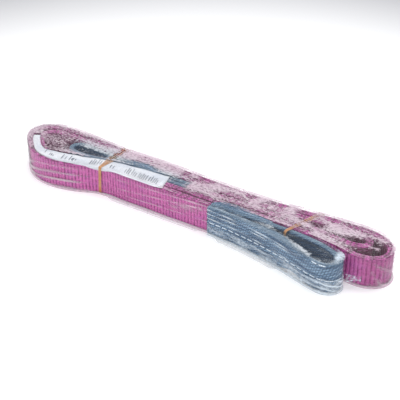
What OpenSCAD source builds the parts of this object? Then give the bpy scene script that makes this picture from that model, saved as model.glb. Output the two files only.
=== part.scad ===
// Flat web sling, two plies of 30 mm webbing with a sleeved eye at each end.
// It lies coiled in a flat spiral on the edge of its webbing, held by two rubber
// bands and sealed in clear film. X runs along the pack, Z up, base at Z = 0.

/* [Webbing] */
// Width of the webbing, which is its height in the pack
web_w = 30; // [29:0.5:31]
// Thickness of one ply
ply_t = 3; // [2.6:0.1:3.1]
// Height of the webbing's lower edge above the base
web_z = 1; // [0.9:0.1:1]

/* [Sleeve] */
// Distance from the middle of the eye's ply to the sleeve's outer face
sleeve_half = 2.7; // [2.5:0.1:2.8]
// How far the sleeve stands past each edge of the webbing
sleeve_over = 0.2; // [0.1:0.05:0.2]
// Thickness of the sleeve's cloth
sleeve_t = 0.9; // [0.6:0.1:0.9]

/* [Stitching] */
// Width of a row of stitches
thread_w = 0.8; // [0.5:0.1:1.2]
// How far a row of stitches stands out of the cloth
thread_t = 0.25; // [0.15:0.05:0.3]
// Length of the sewn splice behind each eye
splice_len = 110; // [80:5:115]

/* [Label] */
// Width of the label's flap on top of the pack at its square end
flap_w = 17; // [12:1:18]
// Height of the label's sewn leg, which is tucked between the runs
tuck_h = 22; // [12:1:26]

/* [Rubber bands] */
// Width of one strand
strand_w = 1.4; // [1:0.1:1.6]
// Thickness of one strand
strand_t = 0.5; // [0.3:0.1:0.5]
// Distance between the two strands of a band
strand_pitch = 1.9; // [1.8:0.1:2.4]
// Place of the left band along the pack
left_band_x = -93; // [-96:1:-60]

/* [Film] */
// Thickness of the film
film_t = 0.15; // [0.1:0.05:0.15]
// Height of the film over the pack
film_h = 32.4; // [32.4:0.1:33]
// Width of the sealed edge that lies on the base
seal_w = 4.5; // [3:0.5:5]

/* [Hidden] */

// Middle of the pack's outline, moved to the origin
pack_mid = [4.45, 11.65];

web_top = web_z + web_w;
ply_gap = 0.1;
half_run = ply_gap + ply_t;
// Gap between the webbing of the pack and that of the swinging eye
eye_gap = 0.3;
crotch_x = 34;
inner_crotch_x = -2;

// Route of the middle of the two plies: out of the outer eye to the left along
// the front, round the left end, and so on inwards to the inner eye
spiral = [[crotch_x, 3.5], [-20, 3.5], [-60, 3.5], [-96, 3.3], [-122, -6.6], [-150, -11.6],
          [-170, -8], [-186.5, 3.4], [-197, 15.5], [-200, 26.5], [-195.6, 37.2], [-183.5, 44.4],
          [-163, 46.4], [-140, 45.4], [-118, 43.2], [-98, 40.8], [-40, 40.8], [-16, 39.6],
          [44, 37.2], [109, 39.2], [133, 41.2], [159, 43.2], [178, 43.6], [191, 41.2],
          [201, 36], [207.6, 28.4], [209, 20], [206.2, 12.4], [199.6, 7], [190, 4.4],
          [180, 4.6], [168, 6.8], [150, 10], [126, 12.2], [96, 12.5], [60, 12.4],
          [34, 12.2], [-20, 11.4], [-60, 11.2], [-96, 10.8], [-122, 3.2], [-148, -2],
          [-167, 1.4], [-180, 11], [-187.4, 20.6], [-188.4, 28.6], [-182, 35.4], [-166, 38.4],
          [-140, 37.6], [-118, 35.6], [-98, 33.2], [-35, 32.2], [20, 30.2], [70, 29.6],
          [109, 31.4], [133, 33.6], [155, 35.6], [170, 35.8], [181, 33.4], [187, 28.8],
          [187.4, 23.6], [182.6, 19.2], [173, 17.4], [158, 18.2], [140, 20.2], [115, 21.2],
          [70, 21.2], [34, 21], [inner_crotch_x, 20.9]];

// Route of the outer eye's ply, from the crotch round the bight and back
outer_eye = [[crotch_x + eye_gap, -0.2], [60, -1.8], [84, -5], [107, -9.4], [124, -13.6],
             [141, -18.4], [156, -22.4], [167, -23.6], [174.8, -20], [177.4, -13],
             [173.8, -6.4], [164, -1.8], [150, 2.2], [126, 5.2], [96, 6], [60, 5.9],
             [crotch_x + eye_gap, 5.5]];

// Route of the inner eye's ply
inner_eye = [[inner_crotch_x - eye_gap, 18.1], [-40, 18], [-70, 18.1], [-95, 17.9], [-112, 15],
             [-128, 13.2], [-138, 14], [-144.2, 16.6], [-146.6, 22], [-144.2, 27.4],
             [-138, 29.8], [-128, 29.4], [-112, 27], [-95, 24.2], [-70, 24.1], [-40, 24.1],
             [inner_crotch_x - eye_gap, 23.9]];

// Route of the film's side wall round the pack, and its top's edge behind the eye
film_wall = [[crotch_x - eye_gap, -0.9], [-20, -0.9], [-60, -0.9], [-80, -0.9], [-97, -1.4],
             [-122, -11], [-150, -15.9], [-172, -11.8], [-190, 0.4], [-201.2, 13.8], [-204.4, 27],
             [-199.2, 40], [-185, 48.4], [-163, 50.7], [-140, 49.7], [-118, 47.6], [-98, 45.6],
             [-80, 45.4], [-40, 45.4], [-16, 44.2], [44, 41.6], [90, 42.5], [116, 44.7], [134, 46.3],
             [159, 47.6], [179, 48], [193, 45.2], [204.4, 39], [211.8, 30], [213.3, 19.8],
             [210, 10.2], [202, 3.2], [190, 0], [180, 0.4], [174, 1.8]];
film_back = [[166, 3.4], [150, 6.4], [126, 8.8], [96, 9.1], [60, 9.1], [crotch_x - eye_gap, 9.1]];

// Route of the film round the outer eye, and its top's edge in front of the pack
eye_wall = [[crotch_x + eye_gap, -3.7], [60, -5.4], [84, -8.7], [107, -13.2], [124, -17.4],
            [141, -22.2], [156.6, -26.3], [168.6, -27.4], [178, -22], [181.2, -13],
            [177.5, -3.9], [168.2, 0.6]];
eye_back = [[150, 5.5], [126, 8.3], [96, 8.8], [60, 8.8], [crotch_x + eye_gap, 8.7]];

// Heights of the rows of stitches on the webbing
body_rows = [web_z + 4, web_top - 4];
splice_rows = [web_z + 8, web_z + 12.5, web_z + 17.5, web_z + 22];
sleeve_rows = [web_z + 12.5, web_z + 27];

// Label: where its square end lies, how far its sewn leg keeps off the outer run, and
// how far its flap's front edge lies in front of the middle of that run
label_end_x = -23;
label_t = 0.2;
label_off = half_run + 0.45;
flap_lead = 2.8;
// Share of its width that the flap loses towards its sewn end
flap_taper = 0.45;
flap_z = 31.3;
cover_t = 0.08;
// Spiral control points that the label follows, from its square end to its sewn end
label_first = 2;
label_last = 8;

band_z = 0.2;
band_top = 32.15;
band_r = 1.5;
// The right band runs askew, from inside the outer eye to the back of the pack
right_band_front = [116.5, 1.9];
right_band_back = [131.5, 45.4];
// Outer faces of the left band's legs, in front of the pack and behind it
left_band_y = [-0.6, 44.8];

sleeve_blue = [0.36, 0.47, 0.56];
web_violet = [0.72, 0.36, 0.62];
thread_white = [0.86, 0.9, 0.94];
film_clear = [0.9, 0.92, 0.95, 0.35];

// Curve through points: unit tangent at point i, and the points between
function tangent(p, i) =
    i == 0 ? (p[1] - p[0]) / norm(p[1] - p[0])
    : i == len(p) - 1 ? (p[i] - p[i - 1]) / norm(p[i] - p[i - 1])
    : let (a = norm(p[i] - p[i - 1]), b = norm(p[i + 1] - p[i]),
           m = (p[i] - p[i - 1]) * (b / a) + (p[i + 1] - p[i]) * (a / b))
      m / norm(m);
function between(p, i, t) =
    let (d = norm(p[i + 1] - p[i]), t2 = t * t, t3 = t2 * t)
    (2 * t3 - 3 * t2 + 1) * p[i] + (t3 - 2 * t2 + t) * d * tangent(p, i)
    + (3 * t2 - 2 * t3) * p[i + 1] + (t3 - t2) * d * tangent(p, i + 1);
function steps(p, i) =
    max(2, ceil(acos(min(1, tangent(p, i) * tangent(p, i + 1))) / 9));
function curve(p) = concat(
    [for (i = [0:len(p) - 2]) let (n = steps(p, i)) for (k = [0:n - 1]) between(p, i, k / n)],
    [p[len(p) - 1]]);

// The same curve moved sideways by d(i), to its left
function heading(c, i) =
    let (a = c[max(0, i - 1)], b = c[min(len(c) - 1, i + 1)]) (b - a) / norm(b - a);
function moved(c, d) =
    [for (i = [0:len(c) - 1]) let (h = heading(c, i)) c[i] + d * [-h[1], h[0]]];
function backwards(c) = [for (i = [len(c) - 1:-1:0]) c[i]];
function part_of(c, x0, x1) = [for (q = c) if (q[0] >= x0 && q[0] <= x1) q];

module wall(c, d0, d1, z0, z1) {
    translate([-pack_mid[0], -pack_mid[1], z0])
        linear_extrude(z1 - z0)
            polygon(concat(moved(c, d0), backwards(moved(c, d1))));
}

module sheet(outline, z0, z1) {
    translate([-pack_mid[0], -pack_mid[1], z0])
        linear_extrude(z1 - z0)
            polygon(outline);
}

spiral_curve = curve(spiral);
outer_eye_curve = curve(outer_eye);
inner_eye_curve = curve(inner_eye);

// The stretch of a curve, of which x falls, from x = x1 down to x = x0
function stretch(c, x0, x1) =
    concat([[x1, lookup(x1, c)]], [for (q = c) if (q[0] > x0 && q[0] < x1) q],
           [[x0, lookup(x0, c)]]);

// The sewn stretches: at the start of the front run, and at the end of the inmost run
run_points = 8;
front_run = stretch([for (i = [0:run_points]) spiral_curve[i]],
                    crotch_x - splice_len, crotch_x - 1);
inmost_run = stretch([for (i = [len(spiral_curve) - run_points:len(spiral_curve) - 1])
                         spiral_curve[i]],
                     inner_crotch_x + 1, inner_crotch_x + splice_len);

module web_outer_ply() {
    color(web_violet) wall(spiral_curve, ply_gap, half_run, web_z, web_top);
}

module web_inner_ply() {
    color(web_violet) wall(spiral_curve, -half_run, -ply_gap, web_z, web_top);
}

// One row of stitches on the faces of a strip, by default on both
module thread_row(c, half, z, sides = [-1, 1]) {
    for (side = sides)
        wall(c, side * (half + 0.02), side * (half + thread_t), z - thread_w / 2, z + thread_w / 2);
}

module stitch_row_upper() {
    color(web_violet) thread_row(spiral_curve, half_run, body_rows[1]);
}

module stitch_row_lower() {
    color(web_violet) thread_row(spiral_curve, half_run, body_rows[0]);
}

module outer_splice_stitch() {
    color(web_violet) for (z = splice_rows) thread_row(front_run, half_run, z);
}

module inner_splice_stitch() {
    color(web_violet) for (z = splice_rows) thread_row(inmost_run, half_run, z);
}

module eye_web(c) {
    color(web_violet) wall(c, -ply_t / 2, ply_t / 2, web_z, web_top);
}

module eye_sleeve(c) {
    bore_half = sleeve_half - sleeve_t;
    low = web_z - sleeve_over;
    high = web_top + sleeve_over;
    color(sleeve_blue) difference() {
        wall(c, -sleeve_half, sleeve_half, low, high);
        wall(c, -bore_half, bore_half, low + sleeve_over / 2, high - sleeve_over / 2);
    }
}

// The seam shows on the face that looks out of the loop
module sleeve_seam(c, side) {
    color(thread_white) for (z = sleeve_rows) thread_row(c, sleeve_half, z, [side]);
}

module outer_eye_web() { eye_web(outer_eye_curve); }
module outer_eye_sleeve() { eye_sleeve(outer_eye_curve); }
module outer_sleeve_seam() { sleeve_seam(outer_eye_curve, -1); }
module inner_eye_web() { eye_web(inner_eye_curve); }
module inner_eye_sleeve() { eye_sleeve(inner_eye_curve); }
module inner_sleeve_seam() { sleeve_seam(inner_eye_curve, 1); }

// The label follows the front run from its square end round the left end
label_curve = concat([[label_end_x, spiral[1][1]]],
                     curve([for (i = [label_first:label_last]) spiral[i]]));
label_sewn = [for (i = [len(label_curve) - 3:len(label_curve) - 1]) label_curve[i]];
function flap_edge(inset) =
    [for (i = [0:len(label_curve) - 1])
        let (h = heading(label_curve, i), s = i / (len(label_curve) - 1))
        label_curve[i]
        + (flap_lead - flap_w * (1 - flap_taper * s * s) + inset) * [-h[1], h[0]]];

module label_flap(inset, z0, z1) {
    sheet(concat(moved(label_curve, flap_lead - inset), backwards(flap_edge(inset))), z0, z1);
}

module label_tag() {
    color([0.93, 0.95, 0.97]) {
        wall(label_sewn, -label_off, -label_off - label_t, flap_z - tuck_h, flap_z + label_t);
        label_flap(0, flap_z, flap_z + label_t);
    }
}

module label_cover() {
    color(film_clear) label_flap(0.8, flap_z + label_t + 0.01, flap_z + label_t + cover_t);
}

module label_stitch() {
    color(thread_white)
        for (z = [flap_z - tuck_h + 3:4:flap_z - 3])
            wall(label_sewn, -label_off - label_t - 0.02, -label_off - label_t - thread_t,
                 z - 1.2, z + 1.2);
}

// One closed strand round the pack from a to b, seen from above
module strand(a, b) {
    len_ab = norm(b - a);
    turn = atan2(b[1] - a[1], b[0] - a[0]);
    translate([a[0] - pack_mid[0], a[1] - pack_mid[1], 0])
        rotate([0, 0, turn])
            rotate([90, 0, 0])
                linear_extrude(strand_w, center = true)
                    difference() {
                        rounded_frame(0, len_ab);
                        rounded_frame(strand_t, len_ab);
                    }
}

module rounded_frame(inset, len_ab) {
    r = band_r - inset;
    x0 = band_r;
    x1 = len_ab - band_r;
    z0 = band_z + band_r;
    z1 = band_top - band_r;
    for (x = [x0, x1]) for (z = [z0, z1]) translate([x, z]) circle(r = r, $fn = 48);
    translate([x0 - r, z0]) square([x1 - x0 + 2 * r, z1 - z0]);
    translate([x0, z0 - r]) square([x1 - x0, z1 - z0 + 2 * r]);
}

module rubber_band(a, b) {
    color([0.84, 0.63, 0.45])
        for (side = [-0.5, 0.5])
            strand(a + [side * strand_pitch, 0], b + [side * strand_pitch, 0]);
}

module band_left() { rubber_band([left_band_x, left_band_y[0]], [left_band_x, left_band_y[1]]); }
module band_right() { rubber_band(right_band_front, right_band_back); }

film_wall_curve = curve(film_wall);
eye_wall_curve = curve(eye_wall);
film_outline = concat(film_wall_curve, curve(film_back));
eye_outline = concat(eye_wall_curve, curve(eye_back));

module film_shell(wall_curve, outline) {
    color(film_clear) {
        wall(wall_curve, 0, film_t, film_t, film_h);
        sheet(outline, film_h - film_t, film_h);
    }
}

module film_cover() { film_shell(film_wall_curve, film_outline); }
module film_base() { color(film_clear) sheet(film_outline, 0, film_t); }
module film_eye_cover() { film_shell(eye_wall_curve, eye_outline); }
module film_eye_base() { color(film_clear) sheet(eye_outline, 0, film_t); }

// Sealed edges that lie flat in front of the pack and in front of the eye
module seal_edge(c, side) {
    color([0.86, 0.88, 0.92, 0.5])
        wall(c, side * (film_t + 0.05), side * seal_w, 0, film_t);
}

module film_seal() { seal_edge([[crotch_x - 6, -1.1], [-85, -1.1]], 1); }
module film_eye_seal() { seal_edge(part_of(eye_wall_curve, 44, 118), -1); }

// Gathered tail of film between the eye's bight and the right end
tuft_low = [184.5, -2.6];
tuft_high = [191.5, -1.4];
module film_tuft() {
    color(film_clear)
        for (i = [0:2])
            wall([tuft_low + [i * 1.5, -1.3 * i], tuft_high + [i, -1.3 * i]], 0, film_t,
                 3 + 3 * i, 14 - i);
}

web_outer_ply();
web_inner_ply();
stitch_row_upper();
stitch_row_lower();
outer_splice_stitch();
inner_splice_stitch();
outer_eye_web();
outer_eye_sleeve();
outer_sleeve_seam();
inner_eye_web();
inner_eye_sleeve();
inner_sleeve_seam();
label_tag();
label_cover();
label_stitch();
band_left();
band_right();
film_cover();
film_base();
film_seal();
film_tuft();
film_eye_cover();
film_eye_base();
film_eye_seal();
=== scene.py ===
import math
import random

import bpy
import numpy as np
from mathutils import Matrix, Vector, noise


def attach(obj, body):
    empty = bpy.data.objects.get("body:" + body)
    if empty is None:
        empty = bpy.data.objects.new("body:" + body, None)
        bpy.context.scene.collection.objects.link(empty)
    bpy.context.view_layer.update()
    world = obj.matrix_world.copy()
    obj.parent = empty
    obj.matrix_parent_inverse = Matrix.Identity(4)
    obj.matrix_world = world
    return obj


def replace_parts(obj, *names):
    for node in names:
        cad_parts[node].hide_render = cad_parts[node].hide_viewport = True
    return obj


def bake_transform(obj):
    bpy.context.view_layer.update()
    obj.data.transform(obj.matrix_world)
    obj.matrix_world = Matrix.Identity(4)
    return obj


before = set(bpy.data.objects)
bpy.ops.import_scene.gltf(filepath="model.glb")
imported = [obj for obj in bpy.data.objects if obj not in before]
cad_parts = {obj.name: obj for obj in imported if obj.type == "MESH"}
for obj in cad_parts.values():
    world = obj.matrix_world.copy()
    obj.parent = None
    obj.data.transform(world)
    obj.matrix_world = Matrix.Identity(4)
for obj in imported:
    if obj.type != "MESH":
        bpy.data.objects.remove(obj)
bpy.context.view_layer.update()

MM = 0.001
random.seed(7)

# ------------ routes, in mm, as in the CAD
PACK_MID = np.array([4.45, 11.65])
CROTCH_X = 34.0
INNER_CROTCH_X = -2.0
EYE_GAP = 0.3
WEB_W = 30.0
PLY_T = 3.0
PLY_GAP = 0.1
WEB_Z = 1.0
WEB_TOP = WEB_Z + WEB_W
HALF_RUN = PLY_GAP + PLY_T
SLEEVE_HALF = 2.7
SLEEVE_OVER = 0.2
ROUTE_STEP = 2.0
EYE_STEP = 1.5

SPIRAL = [
    (CROTCH_X, 3.5), (-20, 3.5), (-60, 3.5), (-96, 3.3), (-122, -6.6), (-150, -11.6), (-170, -8),
    (-186.5, 3.4), (-197, 15.5), (-200, 26.5), (-195.6, 37.2), (-183.5, 44.4), (-163, 46.4),
    (-140, 45.4), (-118, 43.2), (-98, 40.8), (-40, 40.8), (-16, 39.6), (44, 37.2), (109, 39.2),
    (133, 41.2), (159, 43.2), (178, 43.6), (191, 41.2), (201, 36), (207.6, 28.4), (209, 20),
    (206.2, 12.4), (199.6, 7), (190, 4.4), (180, 4.6), (168, 6.8), (150, 10), (126, 12.2),
    (96, 12.5), (60, 12.4), (34, 12.2), (-20, 11.4), (-60, 11.2), (-96, 10.8), (-122, 3.2),
    (-148, -2), (-167, 1.4), (-180, 11), (-187.4, 20.6), (-188.4, 28.6), (-182, 35.4), (-166, 38.4),
    (-140, 37.6), (-118, 35.6), (-98, 33.2), (-35, 32.2), (20, 30.2), (70, 29.6), (109, 31.4),
    (133, 33.6), (155, 35.6), (170, 35.8), (181, 33.4), (187, 28.8), (187.4, 23.6), (182.6, 19.2),
    (173, 17.4), (158, 18.2), (140, 20.2), (115, 21.2), (70, 21.2), (34, 21),
    (INNER_CROTCH_X, 20.9)
]
OUTER_EYE = [
    (CROTCH_X + EYE_GAP, -0.2), (60, -1.8), (84, -5), (107, -9.4), (124, -13.6), (141, -18.4),
    (156, -22.4), (167, -23.6), (174.8, -20), (177.4, -13), (173.8, -6.4), (164, -1.8), (150, 2.2),
    (126, 5.2), (96, 6), (60, 5.9), (CROTCH_X + EYE_GAP, 5.5)
]
INNER_EYE = [
    (INNER_CROTCH_X - EYE_GAP, 18.1), (-40, 18), (-70, 18.1), (-95, 17.9), (-112, 15), (-128, 13.2),
    (-138, 14), (-144.2, 16.6), (-146.6, 22), (-144.2, 27.4), (-138, 29.8), (-128, 29.4),
    (-112, 27), (-95, 24.2), (-70, 24.1), (-40, 24.1), (INNER_CROTCH_X - EYE_GAP, 23.9)
]
FILM_WALL = [
    (CROTCH_X - EYE_GAP, -0.9), (-20, -0.9), (-60, -0.9), (-80, -0.9), (-97, -1.4), (-122, -11),
    (-150, -15.9), (-172, -11.8), (-190, 0.4), (-201.2, 13.8), (-204.4, 27), (-199.2, 40),
    (-185, 48.4), (-163, 50.7), (-140, 49.7), (-118, 47.6), (-98, 45.6), (-80, 45.4), (-40, 45.4),
    (-16, 44.2), (44, 41.6), (90, 42.5), (116, 44.7), (134, 46.3), (159, 47.6), (179, 48),
    (193, 45.2), (204.4, 39), (211.8, 30), (213.3, 19.8), (210, 10.2), (202, 3.2), (190, 0),
    (180, 0.4), (174, 1.8)
]
FILM_BACK = [
    (166, 3.4), (150, 5.4), (126, 7.6), (96, 7.9), (60, 8.2), (CROTCH_X - EYE_GAP, 8.6)
]
EYE_WALL = [
    (CROTCH_X + EYE_GAP, -3.7), (60, -5.4), (84, -8.7), (107, -13.2), (124, -17.4), (141, -22.2),
    (156.6, -26.3), (168.6, -27.4), (178, -22), (181.2, -13), (177.5, -3.9), (168.2, 0.6)
]
EYE_BACK = [
    (150, 5.5), (126, 8.3), (96, 8.8), (60, 8.8), (CROTCH_X + EYE_GAP, 8.7)
]


class Route:
    """A smooth curve seen from above, through points in mm, stepped evenly."""

    def __init__(self, points, step=ROUTE_STEP):
        p = np.array(points, float)
        gaps = np.linalg.norm(np.diff(p, axis=0), axis=1)
        t = np.empty_like(p)
        t[0], t[-1] = (p[1] - p[0]) / gaps[0], (p[-1] - p[-2]) / gaps[-1]
        a, b = gaps[:-1, None], gaps[1:, None]
        t[1:-1] = (p[1:-1] - p[:-2]) * (b / a) + (p[2:] - p[1:-1]) * (a / b)
        t /= np.linalg.norm(t, axis=1)[:, None]
        k = np.linspace(0, 1, 40, endpoint=False)[:, None]
        fine = []
        for i, d in enumerate(gaps):
            fine.append((2 * k**3 - 3 * k**2 + 1) * p[i] + (k**3 - 2 * k**2 + k) * d * t[i]
                        + (3 * k**2 - 2 * k**3) * p[i + 1] + (k**3 - k**2) * d * t[i + 1])
        fine = np.vstack(fine + [p[-1:]])
        run = np.concatenate([[0], np.cumsum(np.linalg.norm(np.diff(fine, axis=0), axis=1))])
        self.s = np.linspace(0, run[-1], max(2, int(round(run[-1] / step)) + 1))
        self.xy = np.stack([np.interp(self.s, run, fine[:, c]) for c in (0, 1)], axis=1)
        d = np.gradient(self.xy, axis=0)
        d /= np.linalg.norm(d, axis=1)[:, None]
        self.left = np.stack([-d[:, 1], d[:, 0]], axis=1)

    def __len__(self):
        return len(self.xy)

    def stretch(self, first, last):
        """The route from one of its steps to another."""
        part = Route.__new__(Route)
        part.s, part.xy, part.left = self.s[first:last], self.xy[first:last], self.left[first:last]
        return part

    def cut(self, keep):
        """The first stretch of the route where keep(x, y) holds."""
        mask = np.array([keep(*q) for q in self.xy] + [False])
        first = int(np.argmax(mask))
        return self.stretch(first, first + int(np.argmin(mask[first:])))


def rough(x, y, z, scale, seed=0.0):
    """Smooth noise from -1 to 1 at a point in mm; scale is the size of its features in mm."""
    return noise.noise(Vector((x / scale + seed, y / scale - seed, z / scale + 2 * seed)))


def blob(x, centre, width):
    """A round bump, 1 at the centre and near 0 two widths away."""
    return math.exp(-((x - centre) / width) ** 2)


def fade(x, none, full):
    """0 on one side of none, 1 beyond full, and even between them."""
    return min(1.0, max(0.0, (x - none) / (full - none)))


# ------------ mesh building
def added(name, data):
    """A new object in the scene."""
    obj = bpy.data.objects.new(name, data)
    bpy.context.scene.collection.objects.link(obj)
    return obj


def new_mesh(name, verts, faces, uvs=None, point_values=None):
    """A smooth mesh object. verts are in mm in the routes' frame; uvs is one pair per vertex."""
    co = np.asarray(verts, float).reshape(-1, 3)
    co = (co - [PACK_MID[0], PACK_MID[1], 0]) * MM
    mesh = bpy.data.meshes.new(name)
    mesh.from_pydata(co.tolist(), [], faces)
    mesh.polygons.foreach_set("use_smooth", [True] * len(mesh.polygons))
    if uvs is not None:
        layer = mesh.uv_layers.new(name="route")
        index = np.empty(len(mesh.loops), int)
        mesh.loops.foreach_get("vertex_index", index)
        layer.data.foreach_set("uv", np.asarray(uvs, np.float32)[index].ravel())
    for key, values in (point_values or {}).items():
        attribute = mesh.attributes.new(key, "FLOAT", "POINT")
        attribute.data.foreach_set("value", np.asarray(values, np.float32))
    mesh.update()
    return added(name, mesh)


def grid_faces(rows, columns, around):
    """Quads of a grid of vertices; around joins each row's last vertex to its first."""
    faces = []
    for i in range(rows - 1):
        for j in range(columns if around else columns - 1):
            k = (j + 1) % columns
            a, b = i * columns, (i + 1) * columns
            faces.append((a + j, a + k, b + k, b + j))
    return faces


def sheet_mesh(name, rows, values=()):
    """A sheet through rows of points, each a place, its uv in mm and a number for each value."""
    points = [point for row in rows for point in row]
    held = {key: [point[2 + k] for point in points] for k, key in enumerate(values)}
    return new_mesh(name, [point[0] for point in points],
                    grid_faces(len(rows), len(rows[0]), False),
                    [(u * MM, v * MM) for _, (u, v), *_ in points], held)


def ring_uvs(rings, s):
    """Distance along the route and distance round the ring, in metres."""
    step = np.linalg.norm(np.diff(rings, axis=1), axis=2)
    v = np.concatenate([np.zeros((len(rings), 1)), np.cumsum(step, axis=1)], axis=1)
    u = np.repeat(np.asarray(s)[:, None], rings.shape[1], axis=1)
    return np.stack([u, v], axis=2).reshape(-1, 2) * MM


def loft(name, rings, s, values=None):
    """A closed tube through rings, each a loop of points. values holds the mesh's attributes."""
    n, m = rings.shape[:2]
    faces = grid_faces(n, m, True)
    faces += [tuple(range(m)), tuple((n - 1) * m + j for j in range(m - 1, -1, -1))]
    return new_mesh(name, rings.reshape(-1, 3), faces, ring_uvs(rings, s), values)


def rounded_section(half_d, z0, z1, radius, corner=5, face=9):
    """A rounded rectangle as (sideways, height) pairs, going round."""
    out = []
    corners = [(half_d, z1, 0), (-half_d, z1, 90), (-half_d, z0, 180), (half_d, z0, 270)]
    for d, z, start in corners:
        cd = d - math.copysign(radius, d)
        cz = z + (radius if z == z0 else -radius)
        for k in range(corner):
            a = math.radians(start + 90 * k / (corner - 1))
            out.append((cd + radius * math.cos(a), cz + radius * math.sin(a)))
        if start in (90, 270):
            end = z0 + radius if start == 90 else z1 - radius
            for k in range(1, face):
                out.append((d, cz + (end - cz) * k / face))
    return np.array(out)


def swept(name, route, section, offset=0.0, wobble=None, shape=None, inside=None):
    """The section carried along the route at a sideways offset. wobble(s) moves it sideways and
    up; shape(i, d, z, up) changes one ring's sideways places and heights; inside(s, d) is
    1 where a face looks into the coil, and the mesh carries it as painted shade there."""
    rings = np.empty((len(route), len(section), 3))
    z0, z1 = section[:, 1].min(), section[:, 1].max()
    up = (section[:, 1] - z0) / (z1 - z0)
    for i in range(len(route)):
        side, lift = wobble(route.s[i]) if wobble else (0, 0)
        d, z = section[:, 0] + offset + side, section[:, 1] + lift
        if shape:
            d, z = shape(i, d, z, up)
        rings[i, :, :2] = route.xy[i] + route.left[i] * d[:, None]
        rings[i, :, 2] = z
    edge = np.clip((np.abs(up - 0.5) - 0.465) / 0.02, 0, 1)
    values = {"edge": np.tile(edge, len(route))}    # 1 on the upper and lower edge
    if inside:
        # Painted shade on faces that look into the coil, full from a little below their top edge
        depth = np.clip((0.99 - up) / 0.07, 0, 1)
        values["inside"] = np.concatenate([depth * inside(s, section[:, 0]) for s in route.s])
    return loft(name, rings, route.s, values)


def stitches(name, route, rows, pitch, length, width, proud, surface):
    """Rows of single stitches on the faces of a strip. rows holds (side, z) pairs, proud is how
    far a stitch stands out, and surface is how far the cloth's face is from the route."""
    verts, faces, uvs = [], [], []
    profile = [(-0.5, 0.0), (-0.36, 0.75), (0, 1.0), (0.36, 0.75), (0.5, 0.0)]
    fine = np.arange(len(route))
    for side, z in rows:
        start = route.s[0] + pitch * 0.3
        while start + length < route.s[-1]:
            at = np.interp([start, start + 0.2 * length, start + 0.8 * length, start + length],
                           route.s, fine)
            first = len(verts)
            tilt = random.uniform(-0.12, 0.12)
            for k, f in enumerate(at):
                i = int(f)
                j = min(i + 1, len(route) - 1)
                q = route.xy[i] + (route.xy[j] - route.xy[i]) * (f - i)
                rise = 0.15 if k in (0, 3) else 1.0
                for w, h in profile:
                    d = side * (surface - 0.12 + proud * h * rise)
                    up = (w + tilt * (k - 1.5)) * width
                    verts.append((*(q + route.left[i] * d), z + up))
                    uvs.append((start * MM + k * length * MM / 3, w))
            for k in range(3):
                a, b = first + 5 * k, first + 5 * k + 5
                faces += [(a + j, a + j + 1, b + j + 1, b + j) for j in range(4)]
                faces.append((a + 4, a, b, b + 4))
            start += pitch * random.uniform(0.97, 1.03)
    return new_mesh(name, verts, faces, uvs)


# ------------ materials
class Shader:
    """Short calls for building one material's nodes."""

    def __init__(self, name):
        self.mat = bpy.data.materials.new(name)
        self.mat.use_nodes = True
        self.tree = self.mat.node_tree
        self.tree.nodes.clear()
        self.out = self.tree.nodes.new("ShaderNodeOutputMaterial")

    def put(self, socket, value):
        """Link a socket to another, or set it; a colour's three numbers are made opaque."""
        if isinstance(value, bpy.types.NodeSocket):
            self.tree.links.new(value, socket)
        else:
            socket.default_value = (*value, 1.0) if socket.type == "RGBA" else value

    def node(self, kind, inputs=None, **settings):
        n = self.tree.nodes.new("ShaderNode" + kind)
        for key, value in settings.items():
            setattr(n, key, value)
        for key, value in (inputs or {}).items():
            self.put(n.inputs[key], value)
        return n

    def attribute(self, name):
        """A value that the mesh holds at its points."""
        return self.node("Attribute", attribute_name=name).outputs["Fac"]

    def math(self, operation, a, b=0.0):
        return self.node("Math", {0: a, 1: b}, operation=operation).outputs[0]

    def plus(self, a, b):
        return self.math("ADD", a, b)

    def times(self, a, b):
        return self.math("MULTIPLY", a, b)

    def wave(self, value, pitch):
        """A sine of this pitch, from -1 to 1."""
        return self.math("SINE", self.times(value, 2 * math.pi / pitch))

    def along_across(self):
        uv = self.node("SeparateXYZ", {0: self.scaled_uv(1, 1)})
        return uv.outputs[0], uv.outputs[1]

    def scaled_uv(self, u, v):
        """Metres along the route and round the section, each times its factor."""
        uv = self.node("UVMap", uv_map="route").outputs[0]
        n = self.node("VectorMath", {0: uv, 1: (u, v, 1.0)}, operation="MULTIPLY")
        return n.outputs[0]

    def noise(self, vector, scale, detail=3.0, roughness=0.55):
        """Noise over a vector, or over scaled_uv when given its two factors."""
        if isinstance(vector, tuple):
            vector = self.scaled_uv(*vector)
        n = self.node("TexNoise", {"Vector": vector, "Scale": scale, "Detail": detail,
                                   "Roughness": roughness})
        return n.outputs[0]

    def ramp(self, value, low, high, out_low=0.0, out_high=1.0):
        n = self.node("MapRange", {"Value": value, "From Min": low, "From Max": high,
                                   "To Min": out_low, "To Max": out_high})
        return n.outputs[0]

    def mix(self, factor, a, b):
        n = self.node("Mix", data_type="RGBA")
        self.put(n.inputs[0], factor)
        self.put(n.inputs[6], a)
        self.put(n.inputs[7], b)
        return n.outputs[2]

    def bump(self, height, strength, distance):
        n = self.node("Bump", {"Height": height, "Strength": strength, "Distance": distance})
        return n.outputs[0]

    def principled(self, **inputs):
        n = self.node("BsdfPrincipled", {k.replace("_", " "): v for k, v in inputs.items()})
        return n.outputs[0]

    def finish(self, shader):
        self.tree.links.new(shader, self.out.inputs[0])
        return self.mat


# The cloths' weave, in metres: how far apart its ribs, lines, picks and twists lie
RIB_PITCH, WARP_PITCH = 0.0036, 0.0017
TWILL_PITCH, PICK_PITCH = 0.0030, 0.0024
TWIST_PITCH = 0.0009


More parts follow.
